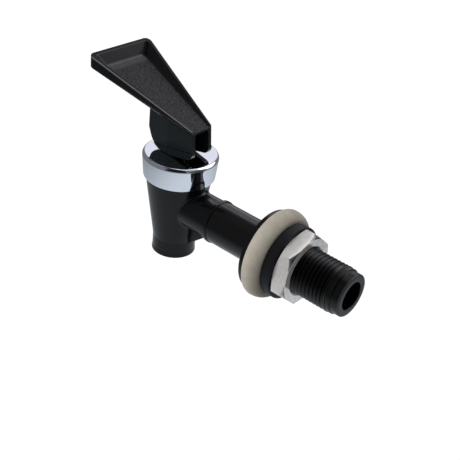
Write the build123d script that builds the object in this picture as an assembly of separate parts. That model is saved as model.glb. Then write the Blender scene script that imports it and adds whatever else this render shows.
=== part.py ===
from build123d import *
import math
import os

os.makedirs("parts", exist_ok=True)

# Beverage dispensing faucet: a moulded body with a spout, a threaded shank that passes through
# the tank's wall, and a lever that lifts a spring-loaded stem and its silicone seat cup.
#
# Frame: the origin lies on the shank's axis, at the flange face that seals against the wall.
# +Z is up, +Y runs along the shank into the tank, and +X completes a right-handed set.

# Places of the main axes and levels
shank_reach = 41.8        # from the flange's sealing face out to the spout's axis
bonnet_rise = 18.5        # from the shank's axis up to the bonnet's flat top
spout_drop = 19.8         # from the shank's axis down to the spout's mouth

# Body
body_collar_radius = 11.45   # the body just under the bonnet
body_taper_length = 23.5     # from the shoulder under the bonnet down to the straight spout
spout_radius = 7.62          # the straight part of the spout, outside
spout_lip = 0.15             # how far the moulded lip stands out round the spout's mouth
spout_lip_height = 1.6
spout_wall = 1.35
neck_step = 0.55             # width of the shoulder round the neck that the bonnet goes over
neck_clamp_gap = 0.05        # air over the cup's flange, under the bonnet's top plate
neck_wall = 2.2              # round the wider stretch at the top of the valve chamber
chamber_step = 1.1           # how much narrower the chamber is below that stretch
chamber_mouth_depth = 6.0
chamber_floor = -5.2         # height of the chamber's floor
floor_thickness = 2.0
outlet_radius = 4.4
inlet_radius = 5.0           # the way from the stub into the chamber
seat_lip_width = 0.8
seat_lip_height = 0.7
stub_radius = 7.05           # the side stub that takes the shank
stub_length = 18.6           # from the spout's axis to the stub's end
stub_blend = 1.2             # moulded radius where the stub leaves the body
rib_thickness = 2.2          # the rib in the corner under the stub
rib_reach = 16.3             # from the spout's axis to the rib's end under the stub
rib_foot = 14.6              # from the shank's axis down to the rib's foot on the spout
rib_edge_round = 0.4

# Bonnet
bonnet_overhang = 0.85       # how far the bonnet's lower edge stands out past the body
bonnet_flare = 0.82          # how much wider the bonnet is at its top, before rounding
bonnet_height = 8.87
bonnet_shoulder_round = 1.25
bonnet_foot_round = 0.7
bonnet_top = 1.9             # thickness of the flat top
bonnet_thread_gap = 0.1      # radial room between the bonnet and the neck
collar_ledge = 0.2           # how far the bonnet's foot stands above the body's shoulder

# Shank
shank_bore_radius = 4.82
tube_radius = 7.37
bead_radius = 7.7
bead_width = 1.5
bead_round = 0.3
flange_radius = 13.9
flange_thickness = 2.0
flange_edge_round = 0.5
thread_radius = 7.9375       # 5/8 inch nominal thread
thread_length = 27.4
thread_runout = 1.7          # smooth band between the thread and the pilot
band_radius = 7.75
pilot_radius = 7.3
pilot_length = 3.0
chamfer_shank = 0.6
spigot_radius = 6.0          # the end that goes into the stub
spigot_length = 6.6
spigot_gap = 0.03
gasket_thickness = 1.0

# Washers and nut on the shank
washer_gap = 0.16            # radial room round the thread
face_gap = 0.05              # air between pieces that slide apart along the shank
outer_washer_radius = 15.4
outer_washer_thickness = 5.85
outer_washer_crown = 1.7     # from the flange to where the domed washer is widest
outer_washer_back_inset = 1.2    # how far the dome curves in at the flange
outer_washer_front_inset = 2.7   # how far it curves in at the inner washer
inner_washer_radius = 12.56
inner_washer_thickness = 3.6
inner_washer_round = 0.35
nut_across_flats = 22.225    # 7/8 inch
nut_thickness = 5.2
nut_turn = 41.2              # angle of one corner above +X, in degrees
nut_chamfer_angle = 30.0
nut_thread_gap = 0.06
nut_bore_chamfer = 0.7

# Stem, pin, spring and seat cup
pivot_height = 4.0           # the pivot's height above the bonnet's flat top
stem_radius = 2.6            # where the stem slides in the bonnet
stem_gap = 0.08
stem_core_radius = 2.0       # the slimmer stretch inside the spring
stem_eye_radius = 3.0
stem_eye_gap = 0.3           # room between the eye and each cheek of the handle
shoulder_radius = 4.4        # the disc that the spring presses on
shoulder_thickness = 1.2
barb_radius = 2.9            # the barb that the cup's plug is snapped onto
barb_height = 1.3
barb_depth = 3.3             # from the shoulder down to the barb's end
stem_core_top = 4.5          # the slim stretch ends this far under the bonnet's top plate
pin_radius = 1.22
pin_gap = 0.03
pin_socket_depth = 0.7       # how far each end of the pin reaches into a cheek
pin_end_gap = 0.08
spring_mean_radius = 3.75
spring_wire_radius = 0.4
spring_turns = 7.5
spring_seat_gap = 0.02
cup_flange_inset = 0.3       # from the neck's edge in to the cup's flange
cup_flange_thickness = 1.2
cup_side_gap = 0.7           # between the cup's wall and the chamber, at the top
cup_wall = 0.8
cup_plug_radius = 5.7
cup_plug_height = 4.4
cup_fit_gap = 0.06

# Handle: a lever with a sloping tray, and two cheeks whose curved edges roll on the bonnet
cam_radius = 4.6             # lift of the stem for each radian of tilt
cam_gap = 0.08               # running room between the cheeks and the bonnet
cam_end_tilt = 90.0          # the rolling edge ends where it stands upright
cam_steps = 6                # arcs of the curve through its points
cheek_half_width = 4.62      # from the middle plane to a cheek's outer face
cheek_wall = 1.4
cheek_rear_top = 8.15        # from the spout's axis back to the cheeks' upper rear corner
cheek_rear_lean = 1.1        # how much further back the cheeks' rear edge lies at its foot
cheek_facet_start = 0.6      # where the flat underside turns up, behind the spout's axis
cheek_facet_angle = 12.5
cheek_heel_radius = 2.2      # the rounded lower rear corner
foot_proud = 0.42            # how far the moulded foot stands out of each cheek
foot_front_height = 1.7
foot_rear_height = 4.8
foot_round = 0.3
front_web = 1.3              # the wall that joins the cheeks at the front
front_web_clearance = 5.2    # height of the web's lower edge above the bonnet
channel_corner = 0.9         # moulded radius between the cheeks and the tray, inside
tray_front = 31.87           # from the spout's axis forward to the tray's end
tray_front_half_width = 14.06
tray_rise = 11.98            # height of the rim above the bonnet's top, at the rear end
tray_slope = 21.03           # of the rim, in degrees
skirt_slope = 18.05          # of the tray's lower edge
skirt_rear = 1.55            # height of the tray's edge at the rear end
tray_corner = 2.0
rim_width_front = 1.5        # across the flat top of the rim
rim_width_rear = 0.8
floor_depth_front = 3.5      # of the floor under the rim, at the wide end
floor_depth_rear = 0.7
floor_slab = 0.75            # thickness of the floor over the channel
side_lean = 37.0             # of the tray's inner side walls, from upright
front_lean = 46.0            # of the ramp at the wide end, from upright
floor_blend = 2.0            # moulded radius along the floor's edges
rim_round = 0.3              # moulded radius along both edges of the rim

# Sizes that follow from the driving dimensions
neck_radius = body_collar_radius - neck_step
chamber_mouth_radius = neck_radius - neck_wall
chamber_radius = chamber_mouth_radius - chamber_step
bonnet_foot_radius = body_collar_radius + bonnet_overhang
bonnet_radius = bonnet_foot_radius + bonnet_flare
cup_flange_radius = neck_radius - cup_flange_inset
cup_top_radius = chamber_mouth_radius - cup_side_gap
bonnet_foot = bonnet_rise - bonnet_height
body_shoulder = bonnet_foot - collar_ledge
bonnet_inside = bonnet_rise - bonnet_top
neck_top = bonnet_inside - cup_flange_thickness - neck_clamp_gap
stub_end = stub_length - shank_reach
cup_plug_base = chamber_floor + seat_lip_height
cup_plug_top = cup_plug_base + cup_plug_height
shoulder_top = cup_plug_top + shoulder_thickness
pivot_z = bonnet_rise + pivot_height
cheek_gap_half = cheek_half_width - cheek_wall
tray_length = tray_front + cheek_rear_top
thread_end = thread_length
shank_tip = thread_end + thread_runout + pilot_length
inner_washer_start = outer_washer_thickness + face_gap
nut_start = inner_washer_start + inner_washer_thickness + face_gap
cam_start_height = pivot_height - cam_gap
FAR = 60.0                   # past every piece, for cutting tools
PAST = 1.0                   # how far a cutting tool runs out of the face that it opens
SLACK = 0.02                 # for picking edges by their place


def upright_turned(points):
    """Solid turned about the spout's axis, from (radius, height) corners."""
    face = make_face(Plane.XZ * Polyline(*points, close=True))
    return Pos(0, -shank_reach, 0) * revolve(face, Axis.Z)


def shank_turned(points):
    """Solid turned about the shank's axis, from (radius, distance into the tank) corners."""
    return revolve(make_face(Polyline(*points, close=True)), Axis.Y)


def rings(part, axis, place, radius):
    """Circular edges of one radius, at one place along an axis."""
    found = part.edges().filter_by(GeomType.CIRCLE).filter_by_position(axis, place - SLACK, place + SLACK)
    return found.filter_by(lambda edge: abs(edge.radius - radius) < SLACK)


def make_body():
    """Tapered body and spout, with its side stub, corner rib, valve chamber and seat."""
    taper_end = body_shoulder - body_taper_length
    lip_top = -spout_drop + spout_lip_height
    shell = upright_turned([
        (0, -spout_drop),
        (spout_radius + spout_lip, -spout_drop),
        (spout_radius, lip_top),
        (spout_radius, taper_end),
        (body_collar_radius, body_shoulder),
        (neck_radius, body_shoulder),
        (neck_radius, neck_top),
        (0, neck_top),
    ])
    stub = Pos(0, -shank_reach, 0) * Rot(-90, 0, 0) * Cylinder(
        stub_radius, stub_length, align=(Align.CENTER, Align.CENTER, Align.MIN))
    shell = shell + stub
    joint_line = shell.edges().filter_by(
        lambda edge: edge.geom_type not in (GeomType.CIRCLE, GeomType.LINE)
        and edge.center().Y > -shank_reach)
    shell = fillet(joint_line, stub_blend)
    rib_outline = Polyline(
        (-shank_reach, -stub_radius / 2),
        (rib_reach - shank_reach, -stub_radius + rib_edge_round),
        (rib_reach - shank_reach, -stub_radius),
        (spout_radius - shank_reach, -rib_foot),
        (-shank_reach, -rib_foot),
        close=True)
    rib = extrude(make_face(Plane.YZ * rib_outline), rib_thickness / 2, both=True)
    rib_edge = rib.edges().filter_by(lambda edge: abs(edge.tangent_at(0).X) < SLACK
                                     and edge.center().Z < -stub_radius - rib_edge_round
                                     and edge.center().Y > spout_radius - shank_reach)
    shell = shell + fillet(rib_edge, rib_edge_round)
    hollow = upright_turned([
        (0, neck_top + PAST),
        (chamber_mouth_radius, neck_top + PAST),
        (chamber_mouth_radius, neck_top - chamber_mouth_depth),
        (chamber_radius, neck_top - chamber_mouth_depth - chamber_mouth_radius + chamber_radius),
        (chamber_radius, chamber_floor),
        (outlet_radius + seat_lip_width, chamber_floor),
        (outlet_radius + seat_lip_width, cup_plug_base),
        (outlet_radius, cup_plug_base),
        (outlet_radius, chamber_floor - floor_thickness),
        (spout_radius - spout_wall, chamber_floor - floor_thickness),
        (spout_radius - spout_wall, -spout_drop - PAST),
        (0, -spout_drop - PAST),
    ])
    socket_end = stub_end - spigot_length - gasket_thickness
    socket = shank_turned([
        (0, stub_end + PAST),
        (spigot_radius + spigot_gap, stub_end + PAST),
        (spigot_radius + spigot_gap, socket_end),
        (inlet_radius, socket_end),
        (inlet_radius, chamber_radius / 2 - shank_reach),
        (0, chamber_radius / 2 - shank_reach),
    ])
    return shell - hollow - socket


def make_bonnet():
    """Turned cap with a flat top, a soft shoulder and a slight taper towards its foot."""
    inside_radius = neck_radius + bonnet_thread_gap
    cap = upright_turned([
        (stem_radius + stem_gap, bonnet_inside),
        (inside_radius, bonnet_inside),
        (inside_radius, bonnet_foot),
        (bonnet_foot_radius, bonnet_foot),
        (bonnet_radius, bonnet_rise),
        (stem_radius + stem_gap, bonnet_rise),
    ])
    cap = fillet(rings(cap, Axis.Z, bonnet_rise, bonnet_radius), bonnet_shoulder_round)
    return fillet(rings(cap, Axis.Z, bonnet_foot, bonnet_foot_radius), bonnet_foot_round)


def make_seat_cup():
    """Silicone cup: a clamped flange, a thin flexing wall and the plug that closes the outlet."""
    flange_base = neck_top
    flange_top = flange_base + cup_flange_thickness
    socket_radius = stem_core_radius + cup_fit_gap
    pocket_base = cup_plug_top - barb_depth - cup_fit_gap
    pocket_top = cup_plug_top - barb_depth + barb_height + cup_fit_gap
    cup = upright_turned([
        (0, cup_plug_base),
        (cup_plug_radius, cup_plug_base),
        (cup_plug_radius, cup_plug_top),
        (cup_top_radius, flange_base),
        (cup_flange_radius, flange_base),
        (cup_flange_radius, flange_top),
        (cup_top_radius - cup_wall, flange_top),
        (cup_plug_radius - cup_wall, cup_plug_top),
        (socket_radius, cup_plug_top),
        (socket_radius, pocket_top),
        (barb_radius + cup_fit_gap, pocket_top),
        (socket_radius, pocket_base),
        (0, pocket_base),
    ])
    return cup


def make_stem():
    """Stem: an eye for the pin, a sliding shaft, a slim core, the spring's shoulder and a barb."""
    barb_base = cup_plug_top - barb_depth
    core_top = bonnet_inside - stem_core_top
    shaft = upright_turned([
        (0, barb_base),
        (stem_core_radius, barb_base),
        (barb_radius, barb_base + barb_height),
        (stem_core_radius, barb_base + barb_height),
        (stem_core_radius, cup_plug_top + cup_fit_gap),
        (shoulder_radius, cup_plug_top + cup_fit_gap),
        (shoulder_radius, shoulder_top),
        (stem_core_radius, shoulder_top),
        (stem_core_radius, core_top),
        (stem_radius, core_top + stem_radius - stem_core_radius),
        (stem_radius, pivot_z),
        (0, pivot_z),
    ])
    eye_width = 2 * (cheek_gap_half - stem_eye_gap)
    pivot = Pos(0, -shank_reach, pivot_z) * Rot(0, 90, 0)
    eye = pivot * Cylinder(stem_eye_radius, eye_width)
    pin_hole = pivot * Cylinder(pin_radius + pin_gap, eye_width + PAST)
    return shaft + eye - pin_hole


def make_pivot_pin():
    """Cross pin through the stem's eye, with each end in a socket of a cheek."""
    length = 2 * (cheek_gap_half + pin_socket_depth - pin_end_gap)
    return Pos(0, -shank_reach, pivot_z) * Rot(0, 90, 0) * Cylinder(pin_radius, length)


def make_return_spring():
    """Compression spring between the stem's shoulder and the bonnet."""
    low = shoulder_top + spring_wire_radius + spring_seat_gap
    high = bonnet_inside - spring_wire_radius - spring_seat_gap
    helix = Pos(0, -shank_reach, low) * Helix(
        pitch=(high - low) / spring_turns, height=high - low, radius=spring_mean_radius)
    start = Plane(origin=helix @ 0, z_dir=helix % 0)
    return sweep(start * Circle(spring_wire_radius), path=helix, is_frenet=True)


def make_shank():
    """Tube with a bead at the body, a flange at the wall, a threaded end, a pilot and a bore."""
    bead_end = stub_end + bead_width
    shank = shank_turned([
        (shank_bore_radius, stub_end - spigot_length),
        (spigot_radius, stub_end - spigot_length),
        (spigot_radius, stub_end),
        (bead_radius, stub_end),
        (bead_radius, bead_end),
        (tube_radius, bead_end),
        (tube_radius, -flange_thickness),
        (flange_radius, -flange_thickness),
        (flange_radius, 0),
        (thread_radius, 0),
        (thread_radius, thread_end),
        (band_radius, thread_end),
        (band_radius, thread_end + thread_runout),
        (pilot_radius, thread_end + thread_runout),
        (pilot_radius, shank_tip),
        (shank_bore_radius, shank_tip),
    ])
    bead_edges = rings(shank, Axis.Y, stub_end, bead_radius) + rings(shank, Axis.Y, bead_end, bead_radius)
    shank = fillet(bead_edges, bead_round)
    shank = fillet(rings(shank, Axis.Y, -flange_thickness, flange_radius), flange_edge_round)
    shank = chamfer(rings(shank, Axis.Y, shank_tip, pilot_radius), chamfer_shank)
    return chamfer(rings(shank, Axis.Y, shank_tip, shank_bore_radius), chamfer_shank / 2)


def make_shank_gasket():
    """Flat ring between the spigot's end and the shoulder in the stub."""
    base = stub_end - spigot_length - gasket_thickness
    return shank_turned([
        (inlet_radius, base),
        (spigot_radius, base),
        (spigot_radius, base + gasket_thickness),
        (inlet_radius, base + gasket_thickness),
    ])


def make_outer_washer():
    """Domed rubber washer: widest near the flange, and curving in towards the inner washer."""
    bore = thread_radius + washer_gap
    back = EllipticalCenterArc(
        (outer_washer_radius - outer_washer_back_inset, outer_washer_crown),
        outer_washer_back_inset, outer_washer_crown, start_angle=-90, arc_size=90)
    front = EllipticalCenterArc(
        (outer_washer_radius - outer_washer_front_inset, outer_washer_crown),
        outer_washer_front_inset, outer_washer_thickness - outer_washer_crown, start_angle=0, arc_size=90)
    sides = Polyline(front @ 1, (bore, outer_washer_thickness), (bore, 0), back @ 0)
    return revolve(make_face(back + front + sides), Axis.Y)


def make_inner_washer():
    """Flat rubber washer on the shank, with its two outer edges rounded."""
    inner_washer_end = inner_washer_start + inner_washer_thickness
    ring = shank_turned([
        (thread_radius + washer_gap, inner_washer_start),
        (inner_washer_radius, inner_washer_start),
        (inner_washer_radius, inner_washer_end),
        (thread_radius + washer_gap, inner_washer_end),
    ])
    outer_edges = (rings(ring, Axis.Y, inner_washer_start, inner_washer_radius)
                   + rings(ring, Axis.Y, inner_washer_end, inner_washer_radius))
    return fillet(outer_edges, inner_washer_round)


def make_mounting_nut():
    """Hexagonal nut, chamfered at both faces and in its bore."""
    corner_radius = nut_across_flats / math.sqrt(3)
    cut = (corner_radius - nut_across_flats / 2) * math.tan(math.radians(nut_chamfer_angle))
    hexagon = Rot(0, 0, -nut_turn) * RegularPolygon(corner_radius, 6)
    prism = Pos(0, nut_start, 0) * Rot(-90, 0, 0) * extrude(hexagon, nut_thickness)
    bore = thread_radius + nut_thread_gap
    nut_end = nut_start + nut_thickness
    envelope = shank_turned([
        (bore + nut_bore_chamfer, nut_start),
        (nut_across_flats / 2, nut_start),
        (corner_radius, nut_start + cut),
        (corner_radius, nut_end - cut),
        (nut_across_flats / 2, nut_end),
        (bore + nut_bore_chamfer, nut_end),
        (bore, nut_end - nut_bore_chamfer),
        (bore, nut_start + nut_bore_chamfer),
    ])
    return prism & envelope


def cam_point(tilt):
    """Point of the rolling edge that meets the bonnet at one tilt, as (y, z) from the pivot.

    The edge is an involute: its support height grows by cam_radius for each radian of tilt.
    """
    reach = cam_start_height + cam_radius * tilt
    return (-reach * math.sin(tilt) - cam_radius * math.cos(tilt),
            -reach * math.cos(tilt) + cam_radius * math.sin(tilt))


def cheek_face():
    """Side view of a cheek, as a face in the YZ plane through the pivot."""
    rear_top = (cheek_rear_top, tray_rise - pivot_height)
    base = -cam_start_height
    slope = math.tan(math.radians(cheek_facet_angle))
    heel_y = cheek_rear_top + cheek_rear_lean
    heel = (heel_y, base + slope * (heel_y - cheek_facet_start))
    tilts = [math.radians(cam_end_tilt * step / cam_steps) for step in range(cam_steps + 1)]
    curve = Spline(*[cam_point(tilt) for tilt in tilts], tangents=[(-1, 0), (0, 1)])
    front = cam_point(tilts[-1])
    top = tray_rise - pivot_height + math.tan(math.radians(tray_slope)) * (cheek_rear_top - front[0])
    outline = curve + Polyline(front, (front[0], top), rear_top, heel,
                               (cheek_facet_start, base), cam_point(0))
    face = make_face(Plane.YZ * outline)
    heel_corner = face.vertices().sort_by(Axis.Y)[-1]
    face = fillet(heel_corner, cheek_heel_radius)
    return Pos(0, -shank_reach, pivot_z) * face


def above(plane):
    """Everything on the normal's side of a plane, out past the handle."""
    return plane * Box(4 * FAR, 4 * FAR, 2 * FAR, align=(Align.CENTER, Align.CENTER, Align.MIN))


def sloping_plane(height, slope):
    """Plane that rises towards the tray's wide end, from a height above the bonnet at its rear end.

    Its own Y runs back down the slope, and its own Z points up out of the tray.
    """
    angle = math.radians(slope)
    return Plane(origin=(0, cheek_rear_top - shank_reach, bonnet_rise + height), x_dir=(1, 0, 0),
                 z_dir=(0, math.sin(angle), math.cos(angle)))


def leaning_wall(base, x, y, heading, lean):
    """Plane through a point of a base plane, facing a heading in it and leaning back from upright."""
    turn = math.radians(heading)
    tip = math.radians(lean)
    normal = (base.x_dir * (math.cos(turn) * math.cos(tip))
              + base.y_dir * (math.sin(turn) * math.cos(tip))
              + base.z_dir * math.sin(tip))
    return Plane(origin=base.from_local_coords((x, y, 0)), z_dir=normal)


def tray_outline():
    """Plan of the tray: a trapezoid with rounded corners at its wide end."""
    front_y = -tray_front - shank_reach
    rear_y = cheek_rear_top - shank_reach
    face = make_face(Polyline(
        (-tray_front_half_width, front_y),
        (tray_front_half_width, front_y),
        (cheek_half_width, rear_y),
        (-cheek_half_width, rear_y),
        close=True))
    return fillet(face.vertices().group_by(Axis.Y)[0], tray_corner)


def make_trough(rim_plane, floor_plane):
    """Hollow of the tray: over the floor, inside two leaning side walls and a ramp."""
    rim_length = tray_length / math.cos(math.radians(tray_slope))
    half_front = tray_front_half_width - rim_width_front
    half_rear = cheek_half_width - rim_width_rear
    spread = math.degrees(math.atan((half_front - half_rear) / rim_length))
    ramp = leaning_wall(rim_plane, 0, rim_width_front - rim_length, 90, front_lean)
    left = leaning_wall(rim_plane, -half_rear, 0, -spread, side_lean)
    right = leaning_wall(rim_plane, half_rear, 0, 180 + spread, side_lean)
    trough = above(floor_plane) & above(ramp) & above(left) & above(right)
    inner_edges = trough.edges().filter_by(
        lambda edge: max(abs(edge.center().X), abs(edge.center().Y), abs(edge.center().Z)) < 2 * FAR)
    return fillet(inner_edges, floor_blend)


def rim_edges(part, rim_plane):
    """Sharp edges that lie on the rim's plane, apart from the short ones across its rear end."""
    return part.edges().filter_by(
        lambda edge: abs(rim_plane.to_local_coords(edge.center()).Z) < SLACK
        and edge.center().Y < cheek_rear_top - shank_reach - SLACK
        and is_sharp(edge, part))


def is_sharp(edge, part):
    """True where the two faces that meet at an edge have different directions."""
    sides = [face for face in part.faces() if edge in face.edges()]
    middle = edge.position_at(0.5)
    return abs(sides[0].normal_at(middle).dot(sides[1].normal_at(middle))) < 1 - SLACK


def make_handle():
    """Lever: sloping tray with a raised rim, and a channel of two cheeks open to the rear."""
    rim_plane = sloping_plane(tray_rise, tray_slope)
    skirt_plane = sloping_plane(tray_rise - skirt_rear, skirt_slope)
    floor_fall = math.degrees(math.atan((floor_depth_front - floor_depth_rear) / tray_length))
    floor_plane = sloping_plane(tray_rise - floor_depth_rear, tray_slope - floor_fall)
    ceiling_plane = sloping_plane(tray_rise - floor_depth_rear - floor_slab, tray_slope - floor_fall)
    tray = extrude(tray_outline(), FAR) & above(skirt_plane)
    tray = tray - above(rim_plane)
    tray = fillet(rim_edges(tray, rim_plane), rim_round)
    side = cheek_face()
    cheeks = extrude(side, cheek_half_width, both=True)
    foot_front = cam_point(math.radians(cam_end_tilt))[0]
    foot_rear = cheek_rear_top + cheek_rear_lean + PAST
    foot_side = make_face(Plane.YZ * Polyline(
        (foot_front, foot_front_height),
        (cam_point(0)[0], foot_front_height),
        (foot_rear, foot_rear_height),
        (foot_rear, -PAST),
        (foot_front, -PAST),
        close=True))
    foot_zone = Pos(0, -shank_reach, bonnet_rise) * extrude(foot_side, FAR, both=True)
    feet = extrude(side, cheek_half_width + foot_proud, both=True) & foot_zone
    outer_edges = feet.edges().filter_by(
        lambda edge: abs(abs(edge.center().X) - cheek_half_width - foot_proud) < SLACK)
    feet = fillet(outer_edges, foot_round)
    inner_rim_plane = sloping_plane(tray_rise - 2 * rim_round, tray_slope)
    sides = cheeks + feet - above(inner_rim_plane)
    lever = tray + sides - make_trough(rim_plane, floor_plane)
    lever = fillet(rim_edges(lever, rim_plane), rim_round)
    web_y = foot_front + front_web - shank_reach
    slot = Pos(0, web_y, 0) * Box(2 * cheek_gap_half, FAR, 2 * FAR,
                                  align=(Align.CENTER, Align.MIN, Align.CENTER))
    slot = slot - above(ceiling_plane)
    slot = fillet(slot.edges().filter_by(
        lambda edge: abs(edge.tangent_at(0).X) < SLACK and abs(edge.tangent_at(0).Y) > SLACK
        and edge.center().Z > pivot_z), channel_corner)
    under_web = Pos(0, -shank_reach, bonnet_rise + front_web_clearance) * Box(
        2 * cheek_gap_half, 2 * FAR, FAR, align=(Align.CENTER, Align.CENTER, Align.MAX))
    sockets = Pos(0, -shank_reach, pivot_z) * Rot(0, 90, 0) * Cylinder(
        pin_radius + pin_gap, 2 * (cheek_gap_half + pin_socket_depth))
    return lever - slot - under_web - sockets


export_step(make_body(), "parts/body.step")
export_step(make_bonnet(), "parts/bonnet.step")
export_step(make_seat_cup(), "parts/seat_cup.step")
export_step(make_stem(), "parts/stem.step")
export_step(make_pivot_pin(), "parts/pivot_pin.step")
export_step(make_return_spring(), "parts/return_spring.step")
export_step(make_handle(), "parts/handle.step")
export_step(make_shank(), "parts/shank.step")
export_step(make_shank_gasket(), "parts/shank_gasket.step")
export_step(make_outer_washer(), "parts/outer_washer.step")
export_step(make_inner_washer(), "parts/inner_washer.step")
export_step(make_mounting_nut(), "parts/mounting_nut.step")
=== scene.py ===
# %% [markdown]
# A dispensing faucet, finished in Blender.
#
# The solids of every piece come from the packed frame, already at their real size and place. This file
# gives them their looks: finer surfaces for the turned pieces, a real thread on the shank, merged copies
# of the cup and the spring, and a finish for each piece. Blender works in metres here, and +Y runs along
# the shank into the tank. Small sizes read better in millimetres, so they are written as a number x MM.

# %% Load the frame
import math
import bmesh
import bpy
import numpy as np
from mathutils import Matrix, Vector


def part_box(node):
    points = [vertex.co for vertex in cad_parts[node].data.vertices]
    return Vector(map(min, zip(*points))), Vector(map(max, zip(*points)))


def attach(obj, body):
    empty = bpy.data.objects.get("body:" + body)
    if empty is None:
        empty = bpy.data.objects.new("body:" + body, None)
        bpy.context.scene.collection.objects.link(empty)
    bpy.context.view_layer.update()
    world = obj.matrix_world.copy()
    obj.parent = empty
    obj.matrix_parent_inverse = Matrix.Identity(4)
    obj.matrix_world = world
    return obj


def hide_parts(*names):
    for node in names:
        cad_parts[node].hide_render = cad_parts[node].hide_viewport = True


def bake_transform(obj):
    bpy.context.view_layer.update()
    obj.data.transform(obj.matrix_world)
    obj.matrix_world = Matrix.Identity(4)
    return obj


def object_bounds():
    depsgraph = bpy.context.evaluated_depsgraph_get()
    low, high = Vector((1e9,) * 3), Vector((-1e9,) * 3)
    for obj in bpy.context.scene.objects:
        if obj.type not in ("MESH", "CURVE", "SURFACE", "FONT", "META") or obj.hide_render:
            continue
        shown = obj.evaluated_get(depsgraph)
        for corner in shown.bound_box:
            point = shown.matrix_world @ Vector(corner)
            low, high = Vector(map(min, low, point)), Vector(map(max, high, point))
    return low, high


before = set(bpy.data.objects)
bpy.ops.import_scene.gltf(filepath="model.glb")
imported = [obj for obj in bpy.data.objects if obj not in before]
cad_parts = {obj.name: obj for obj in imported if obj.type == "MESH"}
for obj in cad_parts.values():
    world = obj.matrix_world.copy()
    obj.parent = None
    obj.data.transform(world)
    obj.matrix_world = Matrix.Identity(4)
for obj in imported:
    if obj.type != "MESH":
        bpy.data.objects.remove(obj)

MM = 0.001
CAD_BOX = [list(map(float, corner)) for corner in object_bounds()]
print("CAD box in mm:", [[round(value / MM, 2) for value in corner] for corner in CAD_BOX])

# %% [markdown]
# A finer surface has to lie exactly where its solid lies. Each place could be typed in again, but then
# it would stay behind when the solid changes. The frame knows the box of every node, so later cells ask
# it how far a node reaches. The spout's axis, for one, is the middle of the bonnet.

# %% Places read from the frame
X, Y, Z = range(3)
LOW, HIGH = range(2)


def reach(node, axis, side):
    """Lowest or highest coordinate of a node along an axis, in millimetres."""
    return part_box(node)[side][axis] / MM


SPOUT_Y = (reach("bonnet", Y, LOW) + reach("bonnet", Y, HIGH)) / 2 * MM
print("spout axis at y =", round(SPOUT_Y / MM, 2), "mm")

# %% [markdown]
# The camera stands behind the shank and to its right, and looks down on the faucet. It could be placed
# by a location and three Euler angles, but those are hard to picture. Here it has the point it looks
# at, a distance, and three plain angles: azimuth round the object, elevation above the floor, and roll
# about the line of sight.

# %% Camera
LOOK_AT = Vector((-1.4, -18.33, -1.84)) * MM
CAMERA_DISTANCE = 296.34 * MM
CAMERA_AZIMUTH, CAMERA_ELEVATION, CAMERA_ROLL = 127.24, 32.77, math.radians(6.98)
LENS, SENSOR = 68.98, 36.0
NEAREST, FARTHEST = 0.01, 10.0


def heading(azimuth, elevation):
    """Unit vector for an azimuth, counted from -Y towards +X, and an elevation, in degrees."""
    turn, tip = math.radians(azimuth), math.radians(elevation)
    return Vector((math.sin(turn) * math.cos(tip), -math.cos(turn) * math.cos(tip), math.sin(tip)))


def add_camera():
    """Camera whose backward axis has the azimuth and elevation, turned by the roll about that axis."""
    back = heading(CAMERA_AZIMUTH, CAMERA_ELEVATION)
    level_right = Vector((0, 0, 1)).cross(back).normalized()
    level_up = back.cross(level_right)
    right = level_right * math.cos(CAMERA_ROLL) + level_up * math.sin(CAMERA_ROLL)
    up = back.cross(right)
    data = bpy.data.cameras.new("camera")
    data.lens, data.sensor_width, data.sensor_fit = LENS, SENSOR, "HORIZONTAL"
    data.clip_start, data.clip_end = NEAREST, FARTHEST
    camera = bpy.data.objects.new("camera", data)
    place = LOOK_AT + back * CAMERA_DISTANCE
    camera.matrix_world = Matrix.Translation(place) @ Matrix((right, up, back)).transposed().to_4x4()
    bpy.context.scene.collection.objects.link(camera)
    bpy.context.scene.camera = camera
    return camera


camera = add_camera()
print("camera at", [round(value / MM, 1) for value in camera.location])

# %% [markdown]
# The room and the finishes are both made of shader nodes. Adding and linking them one by one takes many
# lines that all look alike, so a small class holds the steps that come back: a sum, a mix of two
# numbers or two colours, and a mask that climbs from 0 to 1. A mask marks where something is, and the
# product of two masks marks where both are.

# %% Helpers for shader nodes
COLOR_A, COLOR_B, COLOR_RESULT = 6, 7, 2


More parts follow.
